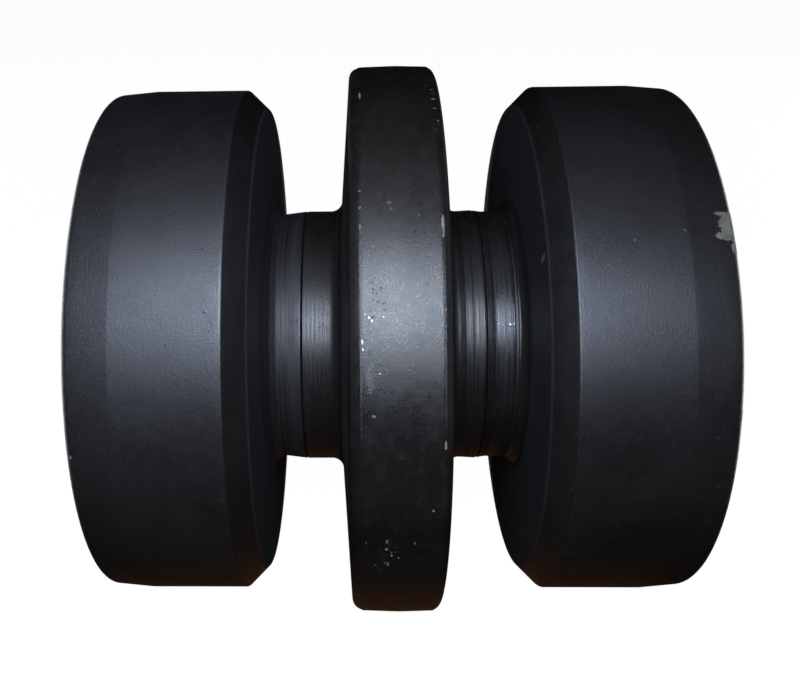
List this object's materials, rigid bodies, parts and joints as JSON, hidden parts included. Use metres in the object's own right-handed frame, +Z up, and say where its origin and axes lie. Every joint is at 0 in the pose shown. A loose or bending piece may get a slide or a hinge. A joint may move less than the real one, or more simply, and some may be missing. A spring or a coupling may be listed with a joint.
{
  "type": "track roller",
  "caption": "Sealed bottom roller for a rubber track: a welded shell with a wheel at each end and a centre flange turns on bushes round a fixed shaft with bolted ends.",
  "frame": {"origin": "centre of the roller, on the spin axis, in the middle plane of the centre flange", "axes": "+Y along the spin axis, +Z up; the machine travels along X"},
  "size_m": [0.1414, 0.164, 0.1414],
  "materials": {
    "shell_paint": "satin black paint over a forged and turned steel shell, chipped on the edges",
    "collar_paint": "satin black paint over a cast iron collar",
    "shaft_steel": "ground steel, oiled, with faced ends",
    "bush_bronze": "machined bronze",
    "seal_iron": "lapped hard iron",
    "seal_rubber": "moulded nitrile rubber",
    "pin_steel": "hardened steel with a dark oiled surface",
    "plug_steel": "blackened steel",
    "washer_copper": "annealed copper"
  },
  "bodies": {
    "axle": {"shaft": "shaft_steel", "left_end_collar": "collar_paint", "right_end_collar": "collar_paint", "left_lock_pin": "pin_steel", "right_lock_pin": "pin_steel", "left_collar_oring": "seal_rubber", "right_collar_oring": "seal_rubber", "left_static_seal_ring": "seal_iron", "right_static_seal_ring": "seal_iron", "left_static_toric": "seal_rubber", "right_static_toric": "seal_rubber", "oil_plug": "plug_steel", "oil_plug_washer": "washer_copper"},
    "roller": {"centre_flange_shell": "shell_paint", "left_wheel_shell": "shell_paint", "right_wheel_shell": "shell_paint", "left_bush": "bush_bronze", "right_bush": "bush_bronze", "left_rotating_seal_ring": "seal_iron", "right_rotating_seal_ring": "seal_iron", "left_rotating_toric": "seal_rubber", "right_rotating_toric": "seal_rubber"}
  },
  "joints": [
    {"name": "roller_spin", "type": "hinge", "parent": "axle", "child": "roller", "pos_m": [0, 0, 0], "axis": [0, 1, 0], "continuous": true}
  ]
}
